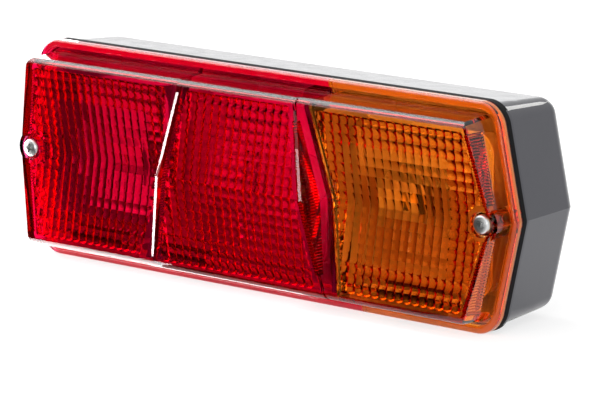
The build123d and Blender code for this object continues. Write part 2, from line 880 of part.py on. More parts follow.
# The finished pieces, by node name
pieces = {
    "housing": housing.part,
    "gasket": gasket.part,
    "lens_red": lens_red.part,
    "lens_amber": lens_amber.part,
    "lens_screws": lens_screws.part,
    "screw_inserts": screw_inserts.part,
    "mounting_bolts": mounting_bolts.part,
    "cable_grommet": grommet.part,
    "rivets": rivets.part,
    "pan_screws": pan_screws.part,
    "bulb_sleeves": bulb_sleeves.part,
    "insulators": insulators.part,
    "contacts": contacts.part,
    "bulb_caps": bulb_caps.part,
    "bulb_glasses": bulb_glasses.part,
    "terminal_block": terminal_block.part,
    "terminal_screws": terminal_screws.part,
    "earth_strip": earth_strip.part,
}
block_end = block_length / 2 - feed_entry
feed_runs = {
    "tail": (feed_level, -block_end, None),
    "stop": (tab_level, stop_terminal + feed_end, stop_terminal),
    "indicator": (feed_level, block_end, None),
}
for lamp, (centre, width, place, way) in holders.items():
    pieces["reflector_" + lamp] = reflector(centre, width, place, way)
    pieces["bracket_" + lamp] = bracket(place, way)
    pieces["feed_" + lamp] = feed_strip(place, way, *feed_runs[lamp])

os.makedirs("parts", exist_ok=True)
for name, piece in pieces.items():
    piece.label = name
    export_step(piece, "parts/" + name + ".step")
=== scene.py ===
import math

import bmesh
import bpy
from mathutils import Matrix, Vector


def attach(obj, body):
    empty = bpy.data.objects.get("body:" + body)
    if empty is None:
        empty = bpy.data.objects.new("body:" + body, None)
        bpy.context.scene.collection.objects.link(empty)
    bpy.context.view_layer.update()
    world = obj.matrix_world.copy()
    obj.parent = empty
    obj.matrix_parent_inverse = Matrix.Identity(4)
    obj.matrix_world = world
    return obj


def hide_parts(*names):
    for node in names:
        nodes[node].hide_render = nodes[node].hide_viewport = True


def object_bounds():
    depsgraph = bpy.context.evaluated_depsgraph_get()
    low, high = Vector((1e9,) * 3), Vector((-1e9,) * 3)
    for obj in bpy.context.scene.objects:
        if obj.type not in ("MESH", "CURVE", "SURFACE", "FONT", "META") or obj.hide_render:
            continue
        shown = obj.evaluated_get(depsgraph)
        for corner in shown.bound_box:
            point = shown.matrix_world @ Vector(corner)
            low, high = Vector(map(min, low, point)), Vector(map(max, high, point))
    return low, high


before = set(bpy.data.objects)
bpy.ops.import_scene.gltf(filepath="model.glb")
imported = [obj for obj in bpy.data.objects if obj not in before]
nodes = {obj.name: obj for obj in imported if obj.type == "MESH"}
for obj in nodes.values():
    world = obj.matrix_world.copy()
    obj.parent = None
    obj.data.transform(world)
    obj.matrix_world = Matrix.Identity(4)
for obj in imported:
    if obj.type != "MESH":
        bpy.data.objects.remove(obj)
cad_low, cad_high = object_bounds()
scene = bpy.context.scene
scene.view_settings.view_transform = "Standard"

# Camera: a long lens at the photograph's angle, to the right of the lamp and a little above it.
# The target is a point on the rim plane, near the middle of the lens.
IMAGE_WIDTH = 600
FOCAL_PIXELS = 3899.6
CAMERA_AZIMUTH = math.radians(39.677)
CAMERA_ELEVATION = math.radians(11.754)
CAMERA_ROLL = math.radians(0.169)
CAMERA_DISTANCE = 1.57215
CAMERA_TARGET = Vector((0.01791, -0.0425, -0.00647))
SENSOR_WIDTH = 36.0
CLIP_START = 0.05
CLIP_END = 50.0

camera_data = bpy.data.cameras.new("camera")
camera_data.sensor_width = SENSOR_WIDTH
camera_data.lens = SENSOR_WIDTH * FOCAL_PIXELS / IMAGE_WIDTH
camera_data.clip_start = CLIP_START
camera_data.clip_end = CLIP_END
camera = bpy.data.objects.new("camera", camera_data)
scene.collection.objects.link(camera)
camera_back = Vector((
    math.sin(CAMERA_AZIMUTH) * math.cos(CAMERA_ELEVATION),
    -math.cos(CAMERA_AZIMUTH) * math.cos(CAMERA_ELEVATION),
    math.sin(CAMERA_ELEVATION),
))
camera.location = CAMERA_TARGET + camera_back * CAMERA_DISTANCE
camera.rotation_mode = "QUATERNION"
turn = Matrix.Rotation(CAMERA_ROLL, 4, camera_back).to_quaternion()
camera.rotation_quaternion = turn @ (-camera_back).to_track_quat("-Z", "Y")
scene.camera = camera

# Studio: a white room with soft light from all round. Camera, mirror and glass rays see plain white.
# A softbox hangs above the lamp to the left, a strip stands behind it, and a wide fill lights its front.
WORLD_FILL = 0.45
SOFTBOX_PLACE = Vector((-0.75, -0.15, 1.0))
SOFTBOX_SIZE = (1.0, 0.8)
SOFTBOX_RADIANCE = 3.5
STRIP_PLACE = Vector((-0.9, 1.3, 0.35))
STRIP_SIZE = (1.6, 0.45)
STRIP_RADIANCE = 0.6
FILL_PLACE = Vector((0.1, -1.45, 0.6))
FILL_SIZE = (1.8, 1.4)
FILL_RADIANCE = 2.7
lamp_middle = Vector((0, -0.03, 0))


def seen_directly(tree):
    """Node whose first output is 1 for camera, mirror and glass rays, and 0 for all others."""
    path = tree.nodes.new("ShaderNodeLightPath")
    looked_at = tree.nodes.new("ShaderNodeMath")
    looked_at.operation = "MAXIMUM"
    tree.links.new(path.outputs["Is Camera Ray"], looked_at.inputs[0])
    tree.links.new(path.outputs["Is Glossy Ray"], looked_at.inputs[1])
    seen = tree.nodes.new("ShaderNodeMath")
    seen.operation = "MAXIMUM"
    tree.links.new(looked_at.outputs[0], seen.inputs[0])
    tree.links.new(path.outputs["Is Transmission Ray"], seen.inputs[1])
    return seen


def add_softbox(name, place, size, radiance, target):
    """Rectangular area light that faces a target and shines with a given radiance."""
    light = bpy.data.lights.new(name, "AREA")
    light.shape = "RECTANGLE"
    light.size, light.size_y = size
    light.energy = radiance * math.pi * size[0] * size[1]
    lamp = bpy.data.objects.new(name, light)
    lamp.location = place
    lamp.rotation_euler = (target - place).to_track_quat("-Z", "Y").to_euler()
    scene.collection.objects.link(lamp)
    return lamp


world = bpy.data.worlds.new("studio")
world.use_nodes = True
scene.world = world
tree = world.node_tree
tree.nodes.clear()
strength = tree.nodes.new("ShaderNodeMapRange")
strength.inputs["To Min"].default_value = WORLD_FILL
strength.inputs["To Max"].default_value = 1.0
tree.links.new(seen_directly(tree).outputs[0], strength.inputs["Value"])
background = tree.nodes.new("ShaderNodeBackground")
background.inputs["Color"].default_value = (1, 1, 1, 1)
tree.links.new(strength.outputs["Result"], background.inputs["Strength"])
world_out = tree.nodes.new("ShaderNodeOutputWorld")
tree.links.new(background.outputs[0], world_out.inputs["Surface"])
add_softbox("softbox", SOFTBOX_PLACE, SOFTBOX_SIZE, SOFTBOX_RADIANCE, lamp_middle)
add_softbox("back_strip", STRIP_PLACE, STRIP_SIZE, STRIP_RADIANCE, lamp_middle)
front_fill = add_softbox("front_fill", FILL_PLACE, FILL_SIZE, FILL_RADIANCE, lamp_middle)
front_fill.visible_glossy = False

# Table: matt white, with the lamp's soft shadow on it. Only mirror rays meet the cards round the lamp.
# Two dark ones in front keep the room out of the lens's front, and bright ones above, at the sides and
# below light its edges, its crests and its bead.
TABLE_SIZE = 8.0
TABLE_COLOUR = (0.45, 0.45, 0.45, 1)
TABLE_LIFT = 0.72
DARK_CARD = (0.004, 0.004, 0.004, 1)
FRONT_CARD_PLACE = Vector((-0.62, -0.72, 0.0))
FRONT_CARD_SIZE = (1.3, 0.5)
TABLE_CARD_PLACE = Vector((-0.28, -0.368, cad_low.z + 0.001))
TABLE_CARD_SIZE = (0.74, 0.6)
TOP_CARD_PLACE = Vector((-0.6, -0.1, 1.15))
TOP_CARD_SIZE = (2.6, 1.8)
TOP_CARD_RADIANCE = 2.5
LEFT_CARD_PLACE = Vector((-0.141, -0.0355, 0.007))
LEFT_CARD_TARGET = LEFT_CARD_PLACE + Vector((1, 0, 0))
LEFT_CARD_SIZE = (0.067, 0.106)
LEFT_CARD_RADIANCE = 9.0
RIGHT_CARD_PLACE = Vector((0.2, -0.9, 0.08))
RIGHT_CARD_SIZE = (0.25, 0.25)
RIGHT_CARD_RADIANCE = 8.0
LOW_CARD_PLACE = Vector((-0.093, -0.0665, cad_low.z + 0.0015))
LOW_CARD_SIZE = (0.096, 0.015)
BEAD_CARD_PLACE = Vector((-0.055, -0.0537, cad_low.z + 0.0015))
BEAD_CARD_SIZE = (0.17, 0.011)
BEAD_CARD_RADIANCE = 4.0


def add_material(name):
    """New material with a Principled shader, returned with its tree and shader."""
    made = bpy.data.materials.new(name)
    made.use_nodes = True
    return made, made.node_tree, made.node_tree.nodes["Principled BSDF"]


def add_card(name, size, place, paint, target=None):
    """Flat stage plane that may face a target."""
    bpy.ops.object.select_all(action="DESELECT")
    bpy.ops.mesh.primitive_plane_add(size=1, location=(0, 0, 0))
    card = bpy.context.object
    card.name = name
    bpy.ops.object.mode_set(mode="EDIT")
    bpy.ops.transform.resize(value=(size[0], size[1], 1))
    bpy.ops.object.mode_set(mode="OBJECT")
    if target is not None:
        card.rotation_euler = (target - place).to_track_quat("Z", "Y").to_euler()
    card.location = place
    card.data.materials.append(paint)
    return card


table_paint, tree, shader = add_material("table")
shader.inputs["Base Color"].default_value = TABLE_COLOUR
shader.inputs["Roughness"].default_value = 0.9
shader.inputs["Specular IOR Level"].default_value = 0.1
shader.inputs["Emission Color"].default_value = (1, 1, 1, 1)
lift = tree.nodes.new("ShaderNodeMath")
lift.operation = "MULTIPLY"
lift.inputs[1].default_value = TABLE_LIFT
tree.links.new(seen_directly(tree).outputs[0], lift.inputs[0])
tree.links.new(lift.outputs[0], shader.inputs["Emission Strength"])
add_card("table", (TABLE_SIZE, TABLE_SIZE), Vector((0, 0, cad_low.z)), table_paint)

dark_paint, tree, shader = add_material("dark_card")
shader.inputs["Base Color"].default_value = DARK_CARD
shader.inputs["Roughness"].default_value = 1.0
shader.inputs["Specular IOR Level"].default_value = 0.0


def bright_card(name, radiance):
    """Paint of a card that shines evenly."""
    paint, tree, shader = add_material(name)
    shader.inputs["Base Color"].default_value = (0, 0, 0, 1)
    shader.inputs["Emission Color"].default_value = (1, 1, 1, 1)
    shader.inputs["Emission Strength"].default_value = radiance
    return paint


top_paint = bright_card("top_card", TOP_CARD_RADIANCE)
left_paint = bright_card("left_card", LEFT_CARD_RADIANCE)
right_paint = bright_card("right_card", RIGHT_CARD_RADIANCE)
bead_paint = bright_card("bead_paint", BEAD_CARD_RADIANCE)
for card in (
    add_card("front_card", FRONT_CARD_SIZE, FRONT_CARD_PLACE, dark_paint, lamp_middle),
    add_card("table_card", TABLE_CARD_SIZE, TABLE_CARD_PLACE, dark_paint),
    add_card("top_card", TOP_CARD_SIZE, TOP_CARD_PLACE, top_paint, lamp_middle),
    add_card("left_card", LEFT_CARD_SIZE, LEFT_CARD_PLACE, left_paint, LEFT_CARD_TARGET),
    add_card("right_card", RIGHT_CARD_SIZE, RIGHT_CARD_PLACE, right_paint, lamp_middle),
    add_card("low_card", LOW_CARD_SIZE, LOW_CARD_PLACE, left_paint),
    add_card("bead_card", BEAD_CARD_SIZE, BEAD_CARD_PLACE, bead_paint),
):
    card.visible_camera = False
    card.visible_diffuse = False
    card.visible_transmission = False
    card.visible_shadow = False

# Housing: a deep tray moulded in glossy black plastic, with its rim, dividers, posts and drain baffles.
# It is one moulding, sprayed white inside; a band along its rim is matt and dark, as painted shade.
MERGE_DISTANCE = 2e-6
SMOOTH_ANGLE = math.radians(14)
RIM_LEVEL = 0.0425
FRONT_LEVEL = -0.042
SPRAY_LEVEL = -0.0495
BAFFLE_MIDDLES = (-0.0815, -0.0355, 0.0815)
BAFFLE_LEVEL = -0.0358
BAFFLE_HALF = (0.0135, 0.0016)
LONG_SHADE_BAND = -0.0375
END_SHADE_BAND = -0.0405
FLOOR_MIDDLE = 0.0038
WALL_MIDDLE = 0.0436
TIP_MIDDLE = 0.1274
WALL_DRAFT = math.tan(math.radians(4))
END_VEE = 10.2 / 46
FACING = 0.5
FACING_UP = 0.7
SPRAY_SLOT = 1
RIM_SHADE_SLOT = 2
GRAIN_RANGE = (0.3, 0.7)
FINER_GRAIN = 6.0


def make_active(piece):
    """Select one piece alone and make it the active one."""
    bpy.ops.object.select_all(action="DESELECT")
    piece.select_set(True)
    bpy.context.view_layer.objects.active = piece


def smooth_flats(piece):
    """Shade round edges smooth and keep flat faces flat."""
    make_active(piece)
    bpy.ops.mesh.customdata_custom_splitnormals_clear()
    bpy.ops.object.shade_smooth_by_angle(angle=SMOOTH_ANGLE)
    weighted = piece.modifiers.new("weighted", "WEIGHTED_NORMAL")
    weighted.keep_sharp = True
    bpy.ops.object.modifier_apply(modifier=weighted.name)


def merged_copy(node):
    """Copy of a node with its triangles joined up, which stands for the node."""
    piece = bpy.data.objects.new(node + "_finished", nodes[node].data.copy())
    scene.collection.objects.link(piece)
    piece.data.materials.clear()
    make_active(piece)
    bpy.ops.object.mode_set(mode="EDIT")
    bpy.ops.mesh.select_all(action="SELECT")
    bpy.ops.mesh.remove_doubles(threshold=MERGE_DISTANCE)
    bpy.ops.mesh.select_all(action="DESELECT")
    bpy.ops.object.mode_set(mode="OBJECT")
    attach(piece, "root")
    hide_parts(node)
    return piece


def is_sprayed(face):
    """Whether spray has reached a face: in the hollow, or on sides and ledges before it, but no baffle."""
    centre = face.center
    draft = max(0, centre.y + RIM_LEVEL) * WALL_DRAFT
    in_height = abs(centre.z) < WALL_MIDDLE - draft
    in_length = abs(centre.x) < TIP_MIDDLE - draft - abs(centre.z) * END_VEE
    in_hollow = in_height and in_length and centre.y < -FLOOR_MIDDLE
    if centre.y > FRONT_LEVEL:
        return in_hollow
    on_baffle = abs(centre.z - BAFFLE_LEVEL) < BAFFLE_HALF[1]
    on_baffle = on_baffle and any(abs(centre.x - x) < BAFFLE_HALF[0] for x in BAFFLE_MIDDLES)
    on_side = abs(face.normal.x) > FACING and centre.y > SPRAY_LEVEL
    on_ledge = face.normal.z > FACING and centre.z < 0
    return in_hollow and (on_side or on_ledge) and not on_baffle


def build_grain():
    """Group for fine uneven grain: a value between two limits, and a height for bumps."""
    group = bpy.data.node_groups.new("fine_grain", "ShaderNodeTree")
    for name in ("Scale", "Low", "High"):
        group.interface.new_socket(name, in_out="INPUT", socket_type="NodeSocketFloat")
    for name in ("Value", "Height"):
        group.interface.new_socket(name, in_out="OUTPUT", socket_type="NodeSocketFloat")
    enter = group.nodes.new("NodeGroupInput")
    leave = group.nodes.new("NodeGroupOutput")
    place = group.nodes.new("ShaderNodeTexCoord")
    broad = group.nodes.new("ShaderNodeTexNoise")
    broad.inputs["Detail"].default_value = 4.0
    group.links.new(place.outputs["Object"], broad.inputs["Vector"])
    group.links.new(enter.outputs["Scale"], broad.inputs["Scale"])
    spread = group.nodes.new("ShaderNodeMapRange")
    spread.inputs["From Min"].default_value = GRAIN_RANGE[0]
    spread.inputs["From Max"].default_value = GRAIN_RANGE[1]
    group.links.new(broad.outputs[0], spread.inputs["Value"])
    group.links.new(enter.outputs["Low"], spread.inputs["To Min"])
    group.links.new(enter.outputs["High"], spread.inputs["To Max"])
    group.links.new(spread.outputs["Result"], leave.inputs["Value"])
    finer = group.nodes.new("ShaderNodeMath")
    finer.operation = "MULTIPLY"
    finer.inputs[1].default_value = FINER_GRAIN
    group.links.new(enter.outputs["Scale"], finer.inputs[0])
    fine = group.nodes.new("ShaderNodeTexNoise")
    fine.inputs["Detail"].default_value = 2.0
    group.links.new(place.outputs["Object"], fine.inputs["Vector"])
    group.links.new(finer.outputs[0], fine.inputs["Scale"])
    group.links.new(fine.outputs[0], leave.inputs["Height"])
    return group


grain = build_grain()


def add_grain(tree, scale, low, high):
    """Place the grain group in a material with its own values."""
    made = tree.nodes.new("ShaderNodeGroup")
    made.node_tree = grain
    made.inputs["Scale"].default_value = scale
    made.inputs["Low"].default_value = low
    made.inputs["High"].default_value = high
    return made


def add_bump(tree, shader, height, distance, strength):
    """Feed a height into the shader's normal as a fine bump."""
    bump = tree.nodes.new("ShaderNodeBump")
    bump.inputs["Distance"].default_value = distance
    bump.inputs["Strength"].default_value = strength
    tree.links.new(height, bump.inputs["Height"])
    tree.links.new(bump.outputs["Normal"], shader.inputs["Normal"])


def mix_colours(tree, factor, first, second):
    """Colour that goes from one to another by a factor."""
    mix = tree.nodes.new("ShaderNodeMix")
    mix.data_type = "RGBA"
    mix.inputs[6].default_value = first
    mix.inputs[7].default_value = second
    tree.links.new(factor, mix.inputs[0])
    return mix.outputs[2]


housing = merged_copy("housing")
bpy.ops.object.mode_set(mode="EDIT")
for level in (SPRAY_LEVEL, FRONT_LEVEL, END_SHADE_BAND, LONG_SHADE_BAND):
    bpy.ops.mesh.select_all(action="SELECT")
    bpy.ops.mesh.bisect(plane_co=(0, level, 0), plane_no=(0, 1, 0))
bpy.ops.mesh.select_all(action="DESELECT")
bpy.ops.object.mode_set(mode="OBJECT")
smooth_flats(housing)

plastic, tree, shader = add_material("black_plastic")
polish = add_grain(tree, 140.0, 0.14, 0.24)
tree.links.new(polish.outputs["Value"], shader.inputs["Roughness"])
tint = add_grain(tree, 30.0, 0.0, 1.0)
black = mix_colours(tree, tint.outputs["Value"], (0.008, 0.0082, 0.0105, 1), (0.014, 0.0142, 0.017, 1))
tree.links.new(black, shader.inputs["Base Color"])
add_bump(tree, shader, polish.outputs["Height"], 0.00002, 0.12)
shader.inputs["Specular IOR Level"].default_value = 0.8
shader.inputs["Specular Tint"].default_value = (0.85, 0.85, 1.0, 1)
shader.inputs["Coat Weight"].default_value = 0.3
shader.inputs["Coat Roughness"].default_value = 0.08
housing.data.materials.append(plastic)

spray, tree, shader = add_material("white_spray")
cover = add_grain(tree, 60.0, 0.0, 1.0)
white = mix_colours(tree, cover.outputs["Value"], (0.93, 0.92, 0.91, 1), (0.97, 0.97, 0.96, 1))
tree.links.new(white, shader.inputs["Base Color"])
shader.inputs["Roughness"].default_value = 0.55
add_bump(tree, shader, cover.outputs["Height"], 0.00005, 0.3)
housing.data.materials.append(spray)

# The rim band is the black plastic made matt and a little darker: painted shade of the gap round the lens.
rim_painted_shade, tree, shader = add_material("rim_painted_shade")
spark = add_grain(tree, 400.0, 0.0, 1.0)
rim_shade_black = mix_colours(tree, spark.outputs["Value"], (0.006, 0.006, 0.007, 1), (0.012, 0.012, 0.013, 1))
tree.links.new(rim_shade_black, shader.inputs["Base Color"])
shader.inputs["Roughness"].default_value = 0.8
shader.inputs["Specular IOR Level"].default_value = 0.15
add_bump(tree, shader, spark.outputs["Height"], 0.00005, 0.4)
housing.data.materials.append(rim_painted_shade)
# Faces before the shade band levels that don't face the front take the rim's painted shade.
for face in housing.data.polygons:
    band = LONG_SHADE_BAND if abs(face.normal.z) > FACING_UP else END_SHADE_BAND
    if is_sprayed(face):
        face.material_index = SPRAY_SLOT
    elif face.center.y < band and face.normal.y > -FACING:
        face.material_index = RIM_SHADE_SLOT

# Gasket and grommet: black rubber. The gasket is a flat ring between the rim and the lens; its front is
# pale, a painted reflection for the lens's bead. The grommet, a moulded bush, closes the cable hole in the
# back.
GASKET_FRONT = -0.0434
GASKET_SQUEEZE = 0.00003
FACING_LENS = 0.9
BEAD_GLOW_SLOT = 1
rubber, tree, shader = add_material("black_rubber")
bloom = add_grain(tree, 90.0, 0.0, 1.0)
sooty = mix_colours(tree, bloom.outputs["Value"], (0.01, 0.01, 0.01, 1), (0.022, 0.022, 0.022, 1))
tree.links.new(sooty, shader.inputs["Base Color"])
shader.inputs["Roughness"].default_value = 0.6
add_bump(tree, shader, bloom.outputs["Height"], 0.00004, 0.3)
# Pale paint on the gasket's front: a painted reflection that lights the lens's bead from behind.
bead_glow_paint, tree, shader = add_material("pale_bead_glow")
bead_glow_grain = add_grain(tree, 50.0, 0.0, 1.0)
bead_glow_colour = mix_colours(tree, bead_glow_grain.outputs["Value"], (0.7, 0.68, 0.64, 1), (0.82, 0.8, 0.76, 1))
tree.links.new(bead_glow_colour, shader.inputs["Base Color"])
shader.inputs["Roughness"].default_value = 0.4
gasket = merged_copy("gasket")
grommet = merged_copy("cable_grommet")
for piece in (gasket, grommet):
    smooth_flats(piece)
    piece.data.materials.append(rubber)
gasket.data.materials.append(bead_glow_paint)
for vert in gasket.data.vertices:
    if vert.co.y < GASKET_FRONT:
        vert.co.y -= GASKET_SQUEEZE
for face in gasket.data.polygons:
    face.material_index = BEAD_GLOW_SLOT if face.normal.y < -FACING_LENS else 0

# Reflector pans: pressed from bright sheet, one behind each section of the lens, screwed on the bosses.
# Their floors are bright. Their sides, and a band across some pans, are darker: painted shade.
PAN_FLOOR = -0.0195
PAN_SIDE = -0.024
DARK_BAND_REACH = (0.017, 0.025)
BRIGHT_SHEET = (0.95, 0.95, 0.94, 1)


def dress(node, material):
    """Give a carried-over piece its material."""
    mesh = nodes[node].data
    mesh.materials.clear()
    mesh.materials.append(material)


def pressed_sheet(name, floor_colour, shaded_side_colour, dark_band_colour, dark_band_middle):
    """Rolled sheet, bright on a pan's floor; painted shade darkens its sides and a band about a height."""
    sheet, tree, shader = add_material(name)
    place = tree.nodes.new("ShaderNodeTexCoord")
    parts = tree.nodes.new("ShaderNodeSeparateXYZ")
    tree.links.new(place.outputs["Object"], parts.inputs[0])
    # Painted shade: darker from the pan's floor towards its sides.
    height = tree.nodes.new("ShaderNodeMapRange")
    height.inputs["From Min"].default_value = PAN_FLOOR
    height.inputs["From Max"].default_value = PAN_SIDE
    tree.links.new(parts.outputs["Y"], height.inputs["Value"])
    metal = mix_colours(tree, height.outputs["Result"], floor_colour, shaded_side_colour)
    # Painted shade: a band about a given height, darkened by a colour.
    level = tree.nodes.new("ShaderNodeMath")
    level.operation = "SUBTRACT"
    level.inputs[1].default_value = dark_band_middle
    tree.links.new(parts.outputs["Z"], level.inputs[0])
    reach = tree.nodes.new("ShaderNodeMath")
    reach.operation = "ABSOLUTE"
    tree.links.new(level.outputs[0], reach.inputs[0])
    dark_band = tree.nodes.new("ShaderNodeMapRange")
    dark_band.inputs["From Min"].default_value = DARK_BAND_REACH[1]
    dark_band.inputs["From Max"].default_value = DARK_BAND_REACH[0]
    tree.links.new(reach.outputs[0], dark_band.inputs["Value"])
    dark_band_mix = tree.nodes.new("ShaderNodeMix")
    dark_band_mix.data_type = "RGBA"
    dark_band_mix.blend_type = "MULTIPLY"
    dark_band_mix.inputs[7].default_value = dark_band_colour
    tree.links.new(dark_band.outputs["Result"], dark_band_mix.inputs[0])
    tree.links.new(metal, dark_band_mix.inputs[6])
    tree.links.new(dark_band_mix.outputs[2], shader.inputs["Base Color"])
    rolled = add_grain(tree, 110.0, 0.42, 0.58)
    tree.links.new(rolled.outputs["Value"], shader.inputs["Roughness"])
    add_bump(tree, shader, rolled.outputs["Height"], 0.00003, 0.2)
    shader.inputs["Metallic"].default_value = 0.1
    return sheet


# Painted shade: dark sides on the tail pan, a darker band low on the stop pan, a brownish one on the
# indicator pan.
tail_sheet = pressed_sheet("tail_sheet", BRIGHT_SHEET, (0.12, 0.12, 0.12, 1), (1, 1, 1, 1), 0.0)
stop_sheet = pressed_sheet("stop_sheet", BRIGHT_SHEET, (0.7, 0.7, 0.7, 1), (0.4, 0.4, 0.4, 1), -0.033)
indicator_sheet = pressed_sheet("indicator_sheet", BRIGHT_SHEET, BRIGHT_SHEET, (0.56, 0.33, 0.25, 1), -0.011)
dress("reflector_tail", tail_sheet)
dress("reflector_stop", stop_sheet)
dress("reflector_indicator", indicator_sheet)

# Bulb holders and small hardware: brackets, bayonet sleeves and screws of zinc plated steel.
# Each sleeve stands on its bent bracket, and soft aluminium rivets hold the bracket on its pan's floor.
zinc, tree, shader = add_material("zinc_plate")
plate = add_grain(tree, 220.0, 0.18, 0.34)
tree.links.new(plate.outputs["Value"], shader.inputs["Roughness"])
cloud = add_grain(tree, 160.0, 0.0, 1.0)
silver = mix_colours(tree, cloud.outputs["Value"], (0.68, 0.69, 0.7, 1), (0.82, 0.82, 0.8, 1))
tree.links.new(silver, shader.inputs["Base Color"])
shader.inputs["Metallic"].default_value = 1.0
dress("pan_screws", zinc)
dull_zinc, tree, shader = add_material("dull_zinc")
etch = add_grain(tree, 180.0, 0.5, 0.65)
tree.links.new(etch.outputs["Value"], shader.inputs["Roughness"])
blotch = add_grain(tree, 90.0, 0.0, 1.0)
grey = mix_colours(tree, blotch.outputs["Value"], (0.6, 0.6, 0.59, 1), (0.7, 0.7, 0.69, 1))
tree.links.new(grey, shader.inputs["Base Color"])
shader.inputs["Metallic"].default_value = 1.0
for node in ("bulb_sleeves", "bracket_tail", "bracket_stop", "bracket_indicator"):
    dress(node, dull_zinc)
aluminium, tree, shader = add_material("soft_aluminium")
hammered = add_grain(tree, 200.0, 0.3, 0.45)
tree.links.new(hammered.outputs["Value"], shader.inputs["Roughness"])
shader.inputs["Base Color"].default_value = (0.82, 0.83, 0.84, 1)
shader.inputs["Metallic"].default_value = 1.0
dress("rivets", aluminium)

# Wiring: feed strips, earth strip, contacts, bulb caps and inserts, stamped or turned from brass.
# The terminal block and the insulators in the sleeves are pressed from brown resin.
brass, tree, shader = add_material("plain_brass")
tarnish = add_grain(tree, 120.0, 0.0, 1.0)
gold = mix_colours(tree, tarnish.outputs["Value"], (0.55, 0.4, 0.17, 1), (0.76, 0.6, 0.3, 1))
tree.links.new(gold, shader.inputs["Base Color"])
rub = add_grain(tree, 150.0, 0.22, 0.4)
tree.links.new(rub.outputs["Value"], shader.inputs["Roughness"])
shader.inputs["Metallic"].default_value = 1.0
for node in (
    "feed_tail", "feed_stop", "feed_indicator", "earth_strip", "contacts", "bulb_caps",
    "terminal_screws", "screw_inserts",
):
    dress(node, brass)
resin, tree, shader = add_material("brown_resin")
speckle = add_grain(tree, 250.0, 0.0, 1.0)
brown = mix_colours(tree, speckle.outputs["Value"], (0.14, 0.065, 0.03, 1), (0.24, 0.12, 0.06, 1))
tree.links.new(brown, shader.inputs["Base Color"])
shader.inputs["Roughness"].default_value = 0.5
add_bump(tree, shader, speckle.outputs["Height"], 0.00004, 0.3)
for node in ("insulators", "terminal_block"):
    dress(node, resin)

# Bulb glasses: one in each section, of thin blown glass.
# Each is cemented in its brass cap and looks a little hazy behind the lens.
blown, tree, shader = add_material("blown_glass")
haze = add_grain(tree, 80.0, 0.12, 0.25)
tree.links.new(haze.outputs["Value"], shader.inputs["Roughness"])
shader.inputs["Base Color"].default_value = (0.95, 0.96, 0.96, 1)
shader.inputs["Transmission Weight"].default_value = 1.0
shader.inputs["IOR"].default_value = 1.12
dress("bulb_glasses", blown)

# Mounting bolts: two of zinc plated steel.
# Their heads lie in hexagon pockets of the housing, and their threads stand out of its back.
bolts = merged_copy("mounting_bolts")
smooth_flats(bolts)
bolts.data.materials.append(zinc)

# Lens: two mouldings of clear acrylic, red and amber, welded along a leaning joint.
# Rows of small pillows on the inside spread the light, and a window of flatter cells lies in each side.
LENS_WALL = 0.0025
EDGE_DEPTH = 0.0618
VALLEY_DEPTH = 0.0556
RIDGE_DEPTH = 0.0675
EDGE_HALF = 0.03958
CENTRE_HALF = 0.0389
SECTION_LEAN = math.tan(math.radians(11.3))
CENTRE_OPTICS = 0.0336
SIDE_OPTICS = 0.04645
END_OPTICS = 0.12027
TOP_OPTICS = 0.036
FIELD_SLACK = 0.0004
COARSE_DEPTHS = (0.00005, 0.0014)
WALL_SLACK = 0.00006
FRONT_SLACK = 0.00005
CREST_SLACK = 0.00003
COLLAR_PLACE = 0.1192
COLLAR_REACH = 0.0074
CELL = 0.004
FIRST_COLUMN = 0.032
SIDE_CELLS = 23
CENTRE_CELLS = 11
ROWS = 9
CELL_CUTS = 5
OPTIC_BASE = 0.00012
PILLOW_HEIGHT = 0.0013
FLUTE_HEIGHT = 0.0004
ROUND_HEIGHT = 0.0002
WINDOW_START = 0.052
WINDOW_END = 0.104
WINDOW_HALF = 0.024
CREST_WIDTHS = {-1: 0.0022, 1: 0.0011}
CREST_SLOPE = math.tan(math.radians(25))
CREST_END = 0.035
JOINT_PLACE = 0.045427
JOINT_SLACK = 0.00003
HAIR = 0.00001
FLAT_ANGLE = math.radians(1)
SIDE_SLOT = 1
CENTRE_SLOT = 2
WALL_SLOTS = (SIDE_SLOT, CENTRE_SLOT)
RED_ABSORPTION = ((0.996, 0.0, 0.53, 1), 1000.0)
AMBER_ABSORPTION = ((0.994, 0.66, 0.0, 1), 640.0)


def in_centre(point):
    """Whether a point lies in the middle section, between its leaning sides."""
    return abs(point.x) < CENTRE_HALF - point.z * SECTION_LEAN


def behind_wall(point, centre):
    """How far a point lies behind the lens's inner wall, in the section that holds a centre."""
    fold = RIDGE_DEPTH if in_centre(centre) else VALLEY_DEPTH
    rise = (EDGE_DEPTH - fold) / EDGE_HALF
    return fold + abs(point.z) * rise - LENS_WALL * math.hypot(1, rise) + point.y


def has_optics(point):
    """Whether optics are moulded at a point of the inner wall."""
    if abs(point.z) > TOP_OPTICS:
        return False
    if in_centre(point):
        return abs(point.x) < CENTRE_OPTICS - point.z * SECTION_LEAN
    if math.hypot(abs(point.x) - COLLAR_PLACE, point.z) < COLLAR_REACH:
        return False
    return SIDE_OPTICS - point.z * SECTION_LEAN < abs(point.x) < END_OPTICS - abs(point.z) * END_VEE


def optic_height(point):
    """How far the optics stand behind the inner wall: pillows, or flutes in a side section's window."""
    first = 0.0 if in_centre(point) else FIRST_COLUMN
    along = 2 * (((abs(point.x) - first) / CELL) % 1) - 1
    across = 2 * ((abs(point.z) / CELL) % 1) - 1
    if WINDOW_START < abs(point.x) < WINDOW_END and abs(point.z) < WINDOW_HALF:
        return OPTIC_BASE + FLUTE_HEIGHT * (1 - along ** 2) + ROUND_HEIGHT * (1 - across ** 2)
    return OPTIC_BASE + PILLOW_HEIGHT * (1 - (along ** 2 + across ** 2) / 2)


